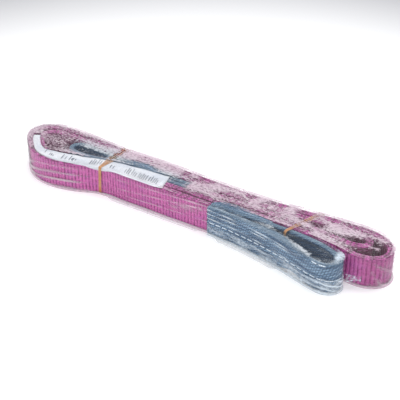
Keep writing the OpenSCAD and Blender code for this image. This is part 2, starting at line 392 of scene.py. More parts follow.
def webbing_material():
    """Violet polyester: broad weft ribs across the strip, fine warp lines along it, painted shade in
    their grooves, and darker selvedges with slanted picks, dark partly with painted shade."""
    m = Shader("violet_webbing")
    along, across = m.along_across()
    drift = m.noise((1, 1), 55, 2)
    weft = m.wave(m.plus(along, m.times(drift, 0.0012)), RIB_PITCH)
    warp = m.wave(across, WARP_PITCH)
    height = m.plus(m.times(weft, 0.65), m.times(warp, 0.35))
    stripe = m.noise((0.04, 1), 380, 3)
    patch = m.noise((0.6, 1), 120, 3)
    fibre = m.noise((1, 3.5), 900, 2)
    broken = m.noise((1, 0.55), 330, 2)
    deep = m.mix(m.ramp(stripe, 0.38, 0.64), (0.46, 0.035, 0.27), (0.64, 0.10, 0.42))
    tint = m.mix(m.ramp(patch, 0.52, 0.72, 0, 0.7), deep, (0.36, 0.05, 0.36))
    light = m.mix(m.ramp(fibre, 0.42, 0.75), tint, (0.80, 0.30, 0.62))
    # Painted shade in the grooves between the weft ribs and between the warp lines
    groove_shade = m.times(m.ramp(weft, -1, 0.25, 1.0, 0.0), m.ramp(broken, 0.4, 0.58, 0.3, 1))
    face = m.mix(groove_shade, light, (0.20, 0.010, 0.125))
    face = m.mix(m.ramp(warp, -1, -0.2, 0.3, 0.0), face, (0.20, 0.01, 0.12))
    dash = m.noise((0.42, 1), 560, 2, 0.6)
    pick = m.noise((1, 1), 900, 2, 0.6)
    # The selvedge's dark dashes are partly the weave and partly painted shade between the runs
    selvedge_and_shade = m.mix(m.ramp(dash, 0.46, 0.56), (0.105, 0.006, 0.062), (0.46, 0.06, 0.31))
    selvedge_and_shade = m.mix(m.ramp(pick, 0.56, 0.66, 0, 0.7), selvedge_and_shade, (0.80, 0.50, 0.68))
    # Painted shade: faces inside the coil are darkened towards deep plum
    inside = m.attribute("inside")
    face = m.mix(m.times(inside, 0.9), face, (0.150, 0.003, 0.070))
    edge = m.attribute("edge")
    return m.finish(m.principled(
        Base_Color=m.mix(edge, face, selvedge_and_shade), Roughness=m.ramp(fibre, 0.3, 0.8, 0.5, 0.75),
        Sheen_Weight=0.15, Sheen_Roughness=0.4, Normal=m.bump(height, 0.7, 0.0004)))


def sleeve_material():
    """Blue-grey woven tube: a flat twill of pale picks over valleys with painted shade, in uneven
    patches.
    """
    m = Shader("blue_grey_sleeve")
    along, across = m.along_across()
    twill = m.wave(m.plus(across, m.times(along, 0.45)), TWILL_PITCH)
    picks = m.wave(m.plus(along, m.times(across, 0.3)), PICK_PITCH)
    dots = m.times(m.plus(twill, 1.0), m.plus(picks, 1.0))
    height = m.plus(m.times(twill, 0.6), m.times(picks, 0.4))
    patch = m.noise((0.45, 1), 150, 4, 0.65)
    streak = m.noise((0.09, 1), 300, 3, 0.6)
    fibre = m.noise((2.5, 1), 1100, 2)
    deep = m.mix(m.ramp(patch, 0.36, 0.62), (0.026, 0.085, 0.180), (0.070, 0.165, 0.285))
    deep = m.mix(m.ramp(streak, 0.50, 0.57, 0, 0.85), deep, (0.25, 0.39, 0.55))
    deep = m.mix(m.ramp(streak, 0.48, 0.42, 0, 0.85), deep, (0.018, 0.058, 0.135))
    light = m.mix(m.ramp(fibre, 0.35, 0.75, 0, 0.6), deep, (0.19, 0.30, 0.44))
    # Painted shade in the twill's valleys between the pale picks
    face = m.mix(m.ramp(dots, 0.0, 1.6, 0.75, 0.0), light, (0.018, 0.050, 0.105))
    # Painted shade: the face towards the eye's opening is darkened towards deep blue
    inside = m.attribute("inside")
    face = m.mix(m.times(inside, 0.72), face, (0.006, 0.045, 0.130))
    rim = m.mix(m.ramp(fibre, 0.4, 0.6), (0.025, 0.055, 0.095), (0.20, 0.29, 0.37))
    edge = m.attribute("edge")
    return m.finish(m.principled(
        Base_Color=m.mix(m.times(edge, 0.6), face, rim),
        Roughness=m.ramp(fibre, 0.3, 0.8, 0.55, 0.8),
        Sheen_Weight=0.15, Sheen_Roughness=0.4, Normal=m.bump(height, 0.8, 0.0004)))


def thread_material(name, light, dark):
    m = Shader(name)
    twist = m.wave(m.along_across()[0], TWIST_PITCH)
    return m.finish(m.principled(
        Base_Color=m.mix(m.ramp(twist, -1, 0.4), dark, light),
        Roughness=m.ramp(twist, -1, 1, 0.5, 0.4), Sheen_Weight=0.3,
        Normal=m.bump(twist, 0.4, 0.0002)))


def label_material():
    m = Shader("label_satin")
    cloth = m.noise((1, 6), 700, 2)
    tone = m.noise((0.3, 1), 120, 3)
    colour = m.mix(m.ramp(tone, 0.35, 0.66), (0.57, 0.61, 0.68), (0.74, 0.76, 0.80))
    return m.finish(m.principled(
        Base_Color=colour, Roughness=m.ramp(cloth, 0.3, 0.7, 0.32, 0.5), Coat_Weight=0.25,
        Coat_Roughness=0.15, Normal=m.bump(cloth, 0.15, 0.0002)))


def ink_material():
    m = Shader("label_ink")
    worn = m.noise((1, 1), 900, 3)
    return m.finish(m.principled(
        Base_Color=m.mix(m.ramp(worn, 0.4, 0.65), (0.05, 0.06, 0.09), (0.15, 0.18, 0.23)),
        Roughness=m.ramp(worn, 0.3, 0.7, 0.35, 0.55)))


def rubber_material():
    m = Shader("tan_rubber")
    grain = m.noise((1, 1), 1500, 3)
    tone = m.noise((1, 1), 130, 2)
    colour = m.mix(m.ramp(tone, 0.35, 0.7), (0.50, 0.215, 0.075), (0.62, 0.36, 0.16))
    return m.finish(m.principled(
        Base_Color=colour, Roughness=m.ramp(grain, 0.3, 0.8, 0.38, 0.6),
        Subsurface_Weight=0.15, Subsurface_Radius=(0.004, 0.002, 0.001),
        Normal=m.bump(grain, 0.2, 0.0001)))


def film_material(name, veil_dark, veil_light, crease_highlight, highlight_tone, broken_up, shine_max):
    """Clear film. The mesh says how far it hides what is under it (haze), how bluish it is (cool)
    and where a painted highlight lies along a crease (glint); noise breaks the haze into specks."""
    m = Shader(name)
    haze = m.attribute("haze")
    speck = m.noise((0.5, 1), 620, 3, 0.7)
    cloud = m.noise((0.4, 1), 140, 3)
    broken = m.plus(haze, m.times(m.math("SUBTRACT", speck, 0.5), broken_up))
    cover = m.ramp(broken, 0.26, 0.76, 0.02, 0.90)
    # Thin pale streaks of the crease tone are painted highlights along the film's creases, and the
    # glint adds more
    streak = m.noise((0.07, 1), 260, 3, 0.6)
    line = m.ramp(m.math("ABSOLUTE", m.math("SUBTRACT", streak, 0.5)), 0.0, 0.014, 1.0, 0.0)
    line = m.times(line, m.ramp(cloud, 0.46, 0.58, 0.0, crease_highlight))
    glint = m.attribute("glint")
    line = m.math("MAXIMUM", line, m.times(glint, m.ramp(speck, 0.3, 0.6, 0.5, 1.0)))
    wrinkle = m.bump(m.plus(streak, m.times(speck, 0.3)), 0.45, 0.0006)
    cool = m.attribute("cool")
    tone = m.mix(m.ramp(cloud, 0.36, 0.62), veil_dark, veil_light)
    tone = m.mix(cool, tone, (0.47, 0.51, 0.56))
    fleck = m.noise((1, 1), 1000, 2)
    tone = m.mix(m.ramp(fleck, 0.55, 0.68, 0, 0.5), tone, (0.78, 0.74, 0.78))
    tone = m.mix(line, tone, highlight_tone)
    veil = m.principled(Base_Color=tone, Roughness=0.45, Normal=wrinkle)
    clear = m.node("BsdfTransparent").outputs[0]
    body = m.node("MixShader", {0: m.math("MAXIMUM", cover, line), 1: clear, 2: veil}).outputs[0]
    gloss = m.node("BsdfGlossy", {"Roughness": 0.14, "Normal": wrinkle}).outputs[0]
    facing = m.node("LayerWeight", {"Blend": 0.3, "Normal": wrinkle}).outputs["Facing"]
    shine = m.ramp(facing, 0.2, 1, 0.02, shine_max)
    return m.finish(m.node("MixShader", {0: shine, 1: body, 2: gloss}).outputs[0])


def plain_film_material(name, cover):
    """The film where it lies flat: an even veil that hides this share of what is under it."""
    m = Shader(name)
    place = m.node("TexCoord").outputs["Object"]
    cloud = m.noise(place, 90, 3)
    grain = m.noise(place, 900, 2)
    clear = m.node("BsdfTransparent").outputs[0]
    bump = m.bump(grain, 0.3, 0.0003)
    veil = m.principled(Base_Color=m.mix(cloud, (0.80, 0.80, 0.82), (0.90, 0.90, 0.91)),
                        Roughness=m.ramp(grain, 0.3, 0.7, 0.25, 0.45), Normal=bump)
    factor = m.ramp(cloud, 0.3, 0.7, cover * 0.7, cover * 1.2)
    return m.finish(m.node("MixShader", {0: factor, 1: clear, 2: veil}).outputs[0])


def set_material(obj, material):
    obj.data.materials.clear()
    obj.data.materials.append(material)
    return obj


def dress(obj, material, node):
    """Give a piece its material and slot, in the place of a CAD node."""
    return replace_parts(set_material(obj, material), node)


WEBBING = webbing_material()
SLEEVE = sleeve_material()
WHITE_THREAD = thread_material("white_thread", (0.80, 0.88, 0.97), (0.38, 0.47, 0.56))
VIOLET_THREAD = thread_material("violet_thread", (0.62, 0.15, 0.42), (0.30, 0.03, 0.19))
LABEL = label_material()
INK = ink_material()
RUBBER = rubber_material()
FILM = film_material("clear_film", (0.50, 0.355, 0.445), (0.60, 0.48, 0.55), crease_highlight=0.35,
                     highlight_tone=(0.82, 0.77, 0.82), broken_up=2.2, shine_max=0.18)
SIDE_FILM = film_material("clear_film_side", (0.42, 0.28, 0.36), (0.54, 0.43, 0.49), crease_highlight=0,
                          highlight_tone=(0.92, 0.62, 0.79), broken_up=0.7, shine_max=0.15)
EYE_FILM = film_material("clear_film_eye", (0.52, 0.62, 0.72), (0.68, 0.77, 0.86), crease_highlight=0.35,
                         highlight_tone=(0.80, 0.88, 0.95), broken_up=1.0, shine_max=0.12)
FILM_FLAT = plain_film_material("clear_film_flat", 0.06)
FILM_BASE = plain_film_material("clear_film_base", 0.5)
FILM_SEAL = plain_film_material("sealed_film_edge", 0.26)

# ------------ the sling
spiral = Route(SPIRAL)
outer_eye = Route(OUTER_EYE, EYE_STEP)
inner_eye = Route(INNER_EYE, EYE_STEP)
BIGHT = int(outer_eye.xy[:, 0].argmax())
FIRST_TURN_END = (CROTCH_X, 12.2)
first_turn = spiral.s[int(np.hypot(*(spiral.xy - FIRST_TURN_END).T).argmin())]


def ply_wobble(seed):
    def wobble(s):
        return 0.12 * rough(s, seed, 0, 23, seed), 0.35 * rough(s, 0, seed, 31, seed + 3)
    return wobble


def make_ply(name, node, sign):
    """One ply, beside the route by its sign. Its faces carry painted shade but for the outer face of
    the first turn, which is in the light and gets only a little painted shade round the right end."""
    def inside(s, d):
        x, y = (float(np.interp(s, spiral.s, spiral.xy[:, c])) for c in (0, 1))
        # Painted shade on the outer face where it turns round the front half of the right end
        right_end_shade = 0.35 * fade(x, 188, 197) * (y < 30)
        return np.where((s < first_turn) & (sign > 0) & (d > 0), right_end_shade, 1.0)

    section = rounded_section(PLY_T / 2 - 0.02, WEB_Z, WEB_TOP, 1.1, face=15)
    ply = swept(name, spiral, section, sign * (PLY_GAP + PLY_T / 2), ply_wobble(sign),
                inside=inside)
    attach(dress(ply, WEBBING, node), "pack")


# How far the near leg's loose upper edge stands in over the eye's opening, along x to the bight
SWELL_X = (34, 60, 84, 104, 118, 130, 142, 158, 168, 176)
SWELL = (0, 0.7, 3.3, 6.2, 5.4, 2.6, 0.3, -2.0, -0.6, 1.5)
BIGHT_SWELL = 3.2
DRAWN_UP, DRAWN_UP_X = 5.0, 134


def inner_swell(i):
    """The swelling at a step of the outer eye's route; it dies away beyond the bight."""
    x = outer_eye.xy[i][0]
    if i <= BIGHT:
        return float(np.interp(x, SWELL_X, SWELL)) if x < SWELL_X[-1] else BIGHT_SWELL * 0.7
    return BIGHT_SWELL * blob(outer_eye.s[i] - outer_eye.s[BIGHT], 7, 11)


def eye_shape(i, d, z, up):
    """The outer eye's sleeve: its near leg is loose and swollen above and thin at the bight,
    and its lower edge is drawn up where the film gathers."""
    weight = np.clip((up - 0.4) / 0.6, 0, 1) ** 2
    d = d + inner_swell(i) * weight * (d + SLEEVE_HALF) / (2 * SLEEVE_HALF)
    if i <= BIGHT:
        z = z + DRAWN_UP * blob(outer_eye.xy[i][0], DRAWN_UP_X, 11) * (1 - up) ** 3
    return d, z


def sleeve_wobble(s):
    return 0.12 * rough(s, 4, 0, 12, 5), 0.25 * rough(s, 0, 9, 26, 6)


def bend_with_eye(obj):
    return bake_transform(obj)


EYE_TUCK = 0.5    # how far the webbing's edges draw in where the sleeve covers them


def make_sleeve(name, node, route, shape=None):
    """The tube over an eye's webbing; the face towards the eye's opening carries painted shade."""
    facing = 1 if route is outer_eye else -1
    section = rounded_section(SLEEVE_HALF - 0.05, WEB_Z - SLEEVE_OVER, WEB_TOP + SLEEVE_OVER, 2.2)
    sleeve = swept(name, route, section, 0, sleeve_wobble, shape,
                   lambda s, d: np.where(d * facing > 0, 1.0, 0.0))
    return dress(sleeve, SLEEVE, node)


def make_eye_web(name, node, route, shape=None):
    section = rounded_section(PLY_T / 2 - 0.1, WEB_Z + EYE_TUCK, WEB_TOP - EYE_TUCK, 1.1)
    web = swept(name, route, section, shape=shape)
    return dress(web, WEBBING, node)


def make_seam(name, node, route, side, heights=(12.5, 27)):
    """A seam on one face of a sleeve, at these heights above the webbing's lower edge."""
    rows = [(side, WEB_Z + h) for h in heights]
    seam = stitches(name, route, rows, pitch=7.6, length=5.6, width=1.15, proud=0.5,
                    surface=SLEEVE_HALF)
    return dress(seam, WHITE_THREAD, node)


def make_sleeve_fold(name, node, route, keep, widest, spread, extra):
    """Loose cloth of the sleeve's far leg that lies back over the run behind it. It is widest,
    by extra mm, at x = widest."""
    fold = route.cut(keep)
    back = -1 if fold.left[0][1] < 0 else 1
    rings = []
    for i, (x, y) in enumerate(fold.xy):
        ends = min(1.0, abs(x - fold.xy[0][0]) / 7, abs(x - fold.xy[-1][0]) / 7)
        reach = SLEEVE_HALF - 0.6 + extra * ends * blob(x, widest, spread)
        ring = []
        for d, lift in ((0.6, 0.12), (0.2, 0.5), (-0.5 * reach, 0.64), (-0.9 * reach, 0.6),
                        (-reach - 0.2, 0.4), (-reach, 0.15), (-0.5 * reach, 0.12)):
            q = fold.xy[i] - back * fold.left[i] * d
            ring.append((q[0], q[1], WEB_TOP + lift + 0.08 * rough(x, y + d, 0, 9, 3)))
        rings.append(ring if back < 0 else ring[::-1])
    return dress(loft(name, np.array(rings), fold.s), SLEEVE, node)


make_ply("webbing_outer_ply", "web_outer_ply", 1)
make_ply("webbing_inner_ply", "web_inner_ply", -1)

bend_with_eye(make_eye_web("outer_eye_webbing", "outer_eye_web", outer_eye, eye_shape))
sleeve_fold = make_sleeve_fold("outer_eye_sleeve_fold", "outer_eye_sleeve", outer_eye,
                               lambda x, y: 34.5 < x < 100 and y > 2.5, 54, 30, 6.3)
bend_with_eye(sleeve_fold)
bend_with_eye(make_sleeve("outer_eye_sleeve_cloth", "outer_eye_sleeve", outer_eye, eye_shape))
bend_with_eye(make_seam("outer_eye_seam_thread", "outer_sleeve_seam", outer_eye, -1, (13.5,)))
bend_with_eye(make_seam("outer_eye_upper_seam_thread", "outer_sleeve_seam",
                        outer_eye.cut(lambda x, y: x > 153 and y < -19), -1, (28.8,)))
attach(make_eye_web("inner_eye_webbing", "inner_eye_web", inner_eye), "pack")
inner_fold = make_sleeve_fold("inner_eye_sleeve_fold", "inner_eye_sleeve", inner_eye,
                              lambda x, y: -88 < x < -30 and y > 21, -60, 18, 6.0)
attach(inner_fold, "pack")
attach(make_sleeve("inner_eye_sleeve_cloth", "inner_eye_sleeve", inner_eye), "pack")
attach(make_seam("inner_eye_seam_thread", "inner_sleeve_seam", inner_eye, 1), "pack")


ROW_IN = 4.0          # from an edge of the webbing to its row of stitches
SPLICE_LEN = 110.0
SPLICE_HEIGHTS = (8, 12.5, 17.5, 22)


def sew_plies(name, node, route, heights, pitch, length, width):
    """Violet stitches on both faces of the plies, at heights above the webbing's lower edge."""
    rows = [(side, WEB_Z + h) for side in (-1, 1) for h in heights]
    thread = stitches(name, route, rows, pitch, length, width, proud=0.3, surface=HALF_RUN)
    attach(dress(thread, VIOLET_THREAD, node), "pack")


def make_splice(name, node, route):
    sew_plies(name, node, route, SPLICE_HEIGHTS, pitch=3.9, length=2.9, width=0.8)


for node, height in (("stitch_row_upper", WEB_W - ROW_IN), ("stitch_row_lower", ROW_IN)):
    sew_plies(node + "_thread", node, spiral, [height], pitch=4.6, length=3.5, width=0.7)
make_splice("outer_splice_thread", "outer_splice_stitch",
            spiral.cut(lambda x, y: CROTCH_X - SPLICE_LEN < x < CROTCH_X and y < 6))
inner_splice_from = len(spiral) - int(SPLICE_LEN / ROUTE_STEP)
make_splice("inner_splice_thread", "inner_splice_stitch",
            spiral.stretch(inner_splice_from, len(spiral)))

# ------------ label
LABEL_START_X = -23.0
LABEL_STOP_Y = 16.5    # the label ends here on its way round the left turn
LABEL_OFF = HALF_RUN + 0.45
LABEL_T = 0.2
FLAP_Z = 31.3
LEG_H = 22.0           # the leg that is sewn to the webbing's face
SKEW_LEN = 6.0
DROOP, DROOP_X, DROOP_LEN = 3.6, -96, 13
label_route = Route(SPIRAL[:10]).cut(
    lambda x, y: x <= LABEL_START_X and not (y > LABEL_STOP_Y and x < -180))
leg_route = label_route.cut(lambda x, y: x < -190 and y > 4)

# The flap's front and back edge as sideways places, along x: it folds round the left end
FLAP_FRONT_X = (-200, -186, -170, -150, -126, -116, -106, -24)
FLAP_FRONT = (-3.2, -2.0, -0.4, 0.3, 0.6, 1.6, 3.1, 3.1)
FLAP_BACK_X = (-200, -181, -169, -155, -140, -126, -112, -93, -83, -55, -25)
FLAP_BACK = (-10.2, -8.4, -8.6, -13, -14.6, -15, -13.2, -11.4, -13.2, -17.6, -19)


def askew(i):
    """1 at the flap's square end, which lies askew, and 0 where the flap is straight."""
    return max(0.0, 1 - (label_route.s[i] - label_route.s[0]) / SKEW_LEN)


def flap_span(i):
    """Front and back edge of the flap, as sideways places."""
    x = label_route.xy[i][0]
    return (float(np.interp(x, FLAP_FRONT_X, FLAP_FRONT)) - 1.5 * askew(i),
            float(np.interp(x, FLAP_BACK_X, FLAP_BACK)) - 1.0 * askew(i))


def make_label():
    """The flap that lies along the top, its front edge folded down, and the sewn leg."""
    rings = []
    for i in range(len(label_route)):
        front, back = flap_span(i)
        droop = DROOP * blob(label_route.xy[i][0], DROOP_X, DROOP_LEN)
        path = [(front + 0.3, FLAP_Z - 0.15 - droop), (front + 0.25, FLAP_Z - 0.2 - 0.4 * droop),
                (front + 0.05, FLAP_Z - 0.05)]
        path += [(front + (back - front) * q, FLAP_Z + 0.1 * rough(label_route.s[i], q * 20, 0, 9))
                 for q in (0.04, 0.1, 0.2, 0.35, 0.5, 0.65, 0.8, 0.92, 1.0)]
        upper = [(d + (LABEL_T if k < 2 else 0), z + (0 if k < 2 else LABEL_T))
                 for k, (d, z) in enumerate(path)]
        loop = np.array(path + upper[::-1])
        lean = np.interp(loop[:, :1], (back, front), (-1.5, 3.5)) * askew(i)
        xy = label_route.xy[i] + label_route.left[i] * loop[:, :1] + np.hstack([lean, 0 * lean])
        rings.append(np.column_stack([xy, loop[:, 1]]))
    flap = loft("label_strip", np.array(rings), label_route.s)
    section = rounded_section(LABEL_T / 2, FLAP_Z - LEG_H, FLAP_Z, 0.09)
    leg = swept("label_sewn_leg", leg_route, section, -LABEL_OFF - LABEL_T / 2)
    for part in (flap, leg):
        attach(dress(part, LABEL, "label_tag"), "pack")


def make_label_stitches():
    heights = np.arange(FLAP_Z - LEG_H + 3, FLAP_Z - 3, 4)
    thread = stitches("label_stitch_thread", leg_route, [(-1, z) for z in heights], pitch=3.4,
                      length=2.4, width=0.7, proud=0.25, surface=LABEL_OFF + LABEL_T)
    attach(dress(thread, WHITE_THREAD, "label_stitch"), "pack")


# Groups of strokes: where along x, how many, their pitch and their length
PRINT_GROUPS = [
    (-161, 1, 2.5, 7.5), (-154, 3, 2.3, 3.5), (-139, 4, 4.2, 8.5), (-128, 2, 4.0, 4.0),
    (-108, 5, 2.3, 9.0), (-86, 2, 3.6, 6.0), (-68, 6, 2.5, 9.0), (-52, 5, 2.4, 8.5),
    (-39, 5, 2.4, 8.0)
]
PRINT_LEAN = 0.25
PRINT_IN = 3.4    # from the flap's front edge to the strokes
PRINT_LIFT = 0.14


def make_print():
    """Plain strokes in groups where the label is printed; they spell nothing."""
    verts, faces = [], []
    for start, count, pitch, length in PRINT_GROUPS:
        for c in range(count):
            x = start + c * pitch + random.uniform(-0.3, 0.3)
            i = int(np.abs(label_route.xy[:, 0] - x).argmin())
            x0, y0 = label_route.xy[i] + label_route.left[i] * (flap_span(i)[0] - PRINT_IN)
            y0 += random.uniform(0, 2.0)
            y1 = y0 + length * random.uniform(0.7, 1.15)
            half = random.uniform(0.35, 0.6)
            first = len(verts)
            z = FLAP_Z + LABEL_T + PRINT_LIFT
            for y in (y0, y1):
                for side in (-half, half):
                    verts.append((x + side - PRINT_LEAN * (y - y0), y, z))
            faces.append((first, first + 1, first + 3, first + 2))
    uvs = [(v[0] * MM, v[1] * MM) for v in verts]
    marks = new_mesh("label_print", verts, faces, uvs)
    set_material(marks, INK)
    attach(marks, "pack")


make_label()
make_print()
make_label_stitches()
set_material(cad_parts["label_cover"], FILM_FLAT)

# ------------ rubber bands
BAND_Z = 0.2
BAND_TOP = 32.3
STRAND_W = 0.95
STRAND_T = 0.5
STRAND_SIDES = 8
CORNER_STEPS = 7
CORNER_R = 1.5
# Where each band crosses the pack's front and back, and each of its strands' sideways place there
LEFT_FRONT, LEFT_BACK = (-94.6, -0.6), (-93, 44.8)
LEFT_STRANDS = [(1.3, 4.0), (0.4, 1.4), (-0.4, -1.2), (-1.3, -3.8)]
RIGHT_FRONT, RIGHT_BACK = (115.3, 0.2), (131.5, 45.4)
RIGHT_STRANDS = [(1.0, 2.1), (0.0, 0.2), (-1.0, -1.9)]


def band_path(length, front_top_r):
    """A band's middle line in its own plane: place, height and outward direction."""
    path = []
    for cx, cz, start, r in ((length, BAND_TOP, 90, CORNER_R), (length, BAND_Z, 0, CORNER_R),
                             (0, BAND_Z, -90, CORNER_R), (0, BAND_TOP, -180, front_top_r)):
        ox = cx - r if cx else r
        oz = cz - r if cz == BAND_TOP else cz + r
        for k in range(CORNER_STEPS):
            angle = math.radians(start - 90 * k / (CORNER_STEPS - 1))
            path.append((ox + r * math.cos(angle), oz + r * math.sin(angle),
                         math.cos(angle), math.sin(angle)))
    full = []
    for k, here in enumerate(path):
        there = path[(k + 1) % len(path)]
        parts = max(1, int(math.hypot(there[0] - here[0], there[1] - here[1]) / 3))
        full += [tuple(a + (b - a) * q / parts for a, b in zip(here, there))
                 for q in range(parts)]
    return full + full[:1]


def strand_rings(path, a, b, spread_at):
    """One strand's rings along the path in the upright plane through a and b."""
    a, b = np.array(a), np.array(b)
    along = (b - a) / np.linalg.norm(b - a)
    side = np.array([-along[1], along[0]])
    rings, s = [], [0.0]
    for k, (u, z, nu, nz) in enumerate(path):
        ring = []
        for angle in range(0, 360, 360 // STRAND_SIDES):
            w = math.cos(math.radians(angle)) * STRAND_W / 2
            t = (math.sin(math.radians(angle)) - 1) * STRAND_T / 2
            xy = a + along * (u + nu * t) + side * (w + spread_at(u, z))
            ring.append((xy[0], xy[1], z + nz * t))
        rings.append(ring)
        if k + 1 < len(path):
            s.append(s[-1] + math.hypot(path[k + 1][0] - u, path[k + 1][1] - z))
    return np.array(rings), s


def make_band(name, node, a, b, strands, front_top_r, foot_shift=0.0):
    """A band of strands that lie close at the front and spread out to the back."""
    length = math.dist(a, b)
    path = band_path(length, front_top_r)
    verts, faces, uvs = [], [], []
    for close, wide in strands:
        def spread_at(u, z):
            k = fade(u, 0, 0.55 * length)
            slant = foot_shift * (1 - z / BAND_TOP) * (1 - u / length)
            return close + (wide - close) * k * k * (3 - 2 * k) + slant
        rings, s = strand_rings(path, a, b, spread_at)
        first = len(verts)
        verts += rings.reshape(-1, 3).tolist()
        uvs += ring_uvs(rings, s).tolist()
        faces += [tuple(first + i for i in f) for f in grid_faces(len(rings), STRAND_SIDES, True)]
    return dress(new_mesh(name, verts, faces, uvs), RUBBER, node)


left_band = make_band("rubber_band_left", "band_left", LEFT_FRONT, LEFT_BACK, LEFT_STRANDS,
                      front_top_r=1.9, foot_shift=1.8)
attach(left_band, "band_left_body")
right_band = make_band("rubber_band_right", "band_right", RIGHT_FRONT, RIGHT_BACK, RIGHT_STRANDS,
                       front_top_r=3.0)
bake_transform(right_band)

# ------------ film
FILM_H = 32.8
FILM_INSET = 0.6    # from the outline to the edge of the top sheet
FILM_STEP = 1.4
SIDE_FOOT = 0.6     # how far the side's foot turns out
RIM_Z = 30.8        # where the side turns over the edge on to the top
WRINKLE = 0.35
# Where the left band slides under the film, and the share of its wrinkles the film keeps there
BAND_TRAVEL = (-102, -36)
BAND_ROOM = 0.25
TOP_HAZE = 0.74
LABEL_HAZE, RIM_HAZE = 0.02, 0.22
CLEAREST, EYE_CLEAREST, HAZIEST, SIDE_HAZIEST = -0.1, -0.2, 0.92, 0.9
PATCH_SPREAD, PATCH_STRENGTH = 1.12, 0.70
# Patches where the top film clings: middle, half-lengths, and how clear it is, or how hazy if negative
CLINGING = [
    (-168, 34, 27, 13, 0.50), (-171, 8, 21, 11, 0.52), (-143, 21, 9, 9, 0.55),
    (-117, 20.8, 30, 2.4, 0.8), (-122, 15.2, 21, 4.6, 0.72), (-120, 28.5, 24, 3.0, 0.1),
    (-124, 39.5, 34, 3.2, 0.45), (-182, 30, 8, 9, 0.25), (-60, 24.5, 19, 5.0, 0.72),
    (-58, 35, 13, 2.0, 0.25), (-14, 35.5, 5, 7, 0.6), (-12, 11, 13, 7, 0.78),
    (-13, 21, 12, 4.5, 0.66), (-4, 30, 6, 4, 0.5), (9, 35.5, 9, 6.5, 0.6), (20, 6, 18, 6, 0.75),
    (46, 23, 19, 6, 0.5), (62, 32.5, 5, 3.5, 0.6), (88, 28.5, 11, 9, 0.5), (88, 27.5, 4, 3.5, -0.5),
    (94, 38, 4, 4, 0.5), (120, 35, 10, 9.5, 0.74), (144, 39.5, 7, 5, 0.62),
    (135, 25.5, 11, 5.5, 0.64), (126, 12, 10, 5, 0.62), (168, 17, 20, 6, 0.50),
    (191, 18, 17, 11, 0.90), (192, 18, 9, 1.8, -0.7), (96, 15, 20, 4, 0.35), (64, 12, 26, 4.5, 0.5),
    (177, 39, 26, 4, 0.6), (205, 26, 5, 12, 0.6), (194, 5.5, 18, 5, 0.6), (196, 2.5, 15, 3.5, 0.55),
    (209, 13, 5, 9, 0.5), (40, 36, 30, 2.2, 0.25), (-93.2, 30, 2.9, 17, 0.62),
    (127, 29, 3.5, 17, -0.30), (6, 2.8, 27, 3.6, 0.8)
]


def clinging(x, y):
    """How far the clinging patches, with uneven edges, clear the haze at a point."""
    wx = x + 3.0 * rough(x, y, 0, 11, 1.3)
    wy = y + 1.8 * rough(x, y, 0, 7, 5.9)
    total = 0.0
    for cx, cy, rx, ry, clear in CLINGING:
        q = ((wx - cx) / (PATCH_SPREAD * rx)) ** 2 + ((wy - cy) / (PATCH_SPREAD * ry)) ** 2
        if q < 4:
            total += PATCH_STRENGTH * clear * math.exp(-q * q)
    return total


def over_label(x, y):
    """1 over the label's flap and the front run's edge before it, 0 away from them."""
    gap = np.hypot(label_route.xy[:, 0] - x, label_route.xy[:, 1] - y)
    i = int(gap.argmin())
    if gap[i] > 20:
        return 0.0
    offset = np.array([x, y]) - label_route.xy[i]
    d = float(offset @ label_route.left[i])
    along = abs(float(offset @ np.array([label_route.left[i][1], -label_route.left[i][0]])))
    front, back = flap_span(i)
    ahead = 5.0 if x > -178 else 0.5
    return 1.0 if along < 1.6 and back - 0.3 < d < front + ahead else 0.0


def outline_span(outline, x):
    """Lowest and highest y of a closed outline at x."""
    ys = []
    for (x0, y0), (x1, y1) in zip(outline, np.roll(outline, -1, axis=0)):
        if (x0 <= x < x1) or (x1 <= x < x0):
            ys.append(y0 + (y1 - y0) * (x - x0) / (x1 - x0))
    return (min(ys), max(ys)) if len(ys) > 1 else None


def film_top(name, outline, haze_at, cool_at, across):
    """The film's top: a sheet from the outline's front edge to its back edge."""
    x0, x1 = outline[:, 0].min(), outline[:, 0].max()
    mid, half = (x0 + x1) / 2, (x1 - x0) / 2 - FILM_INSET
    count = int(2 * half / FILM_STEP)
    rows = []
    for i in range(count + 1):
        c = -1 + 2 * i / count
        x = mid + half * math.copysign(1 - (1 - abs(c)) ** 1.25, c)
        span = outline_span(outline, x)
        if span is None:
            continue
        low, high = span[0] + FILM_INSET, span[1] - FILM_INSET
        row = []
        for y in (low + (high - low) * j / across for j in range(across + 1)):
            edge = max(0.0, min(y - low, high - y, x - x0, x1 - x))
            row.append(((x, y, film_top_height(x, y, edge)), (x, y), haze_at(x, y), cool_at(x, y)))
        rows.append(row)
    return sheet_mesh(name, rows, ("haze", "cool"))


def wrinkled(s, z):
    """How far the film's side stands out, at a distance along it and a height."""
    return WRINKLE * (rough(s, z * 2.5, 0, 17, 2) + 0.5 * rough(s, z * 2, 0, 6, 4))


def pack_top_cool(x, y):
    """How bluish the haze looks: over the inner eye's sleeve and beside it."""
    eye = fade(x, -152, -146) * fade(x, -86, -100)
    neck = fade(x, -100, -86) * fade(x, 4, -12)
    return eye * blob(y, 23, 13) + neck * blob(y, 22, 7)


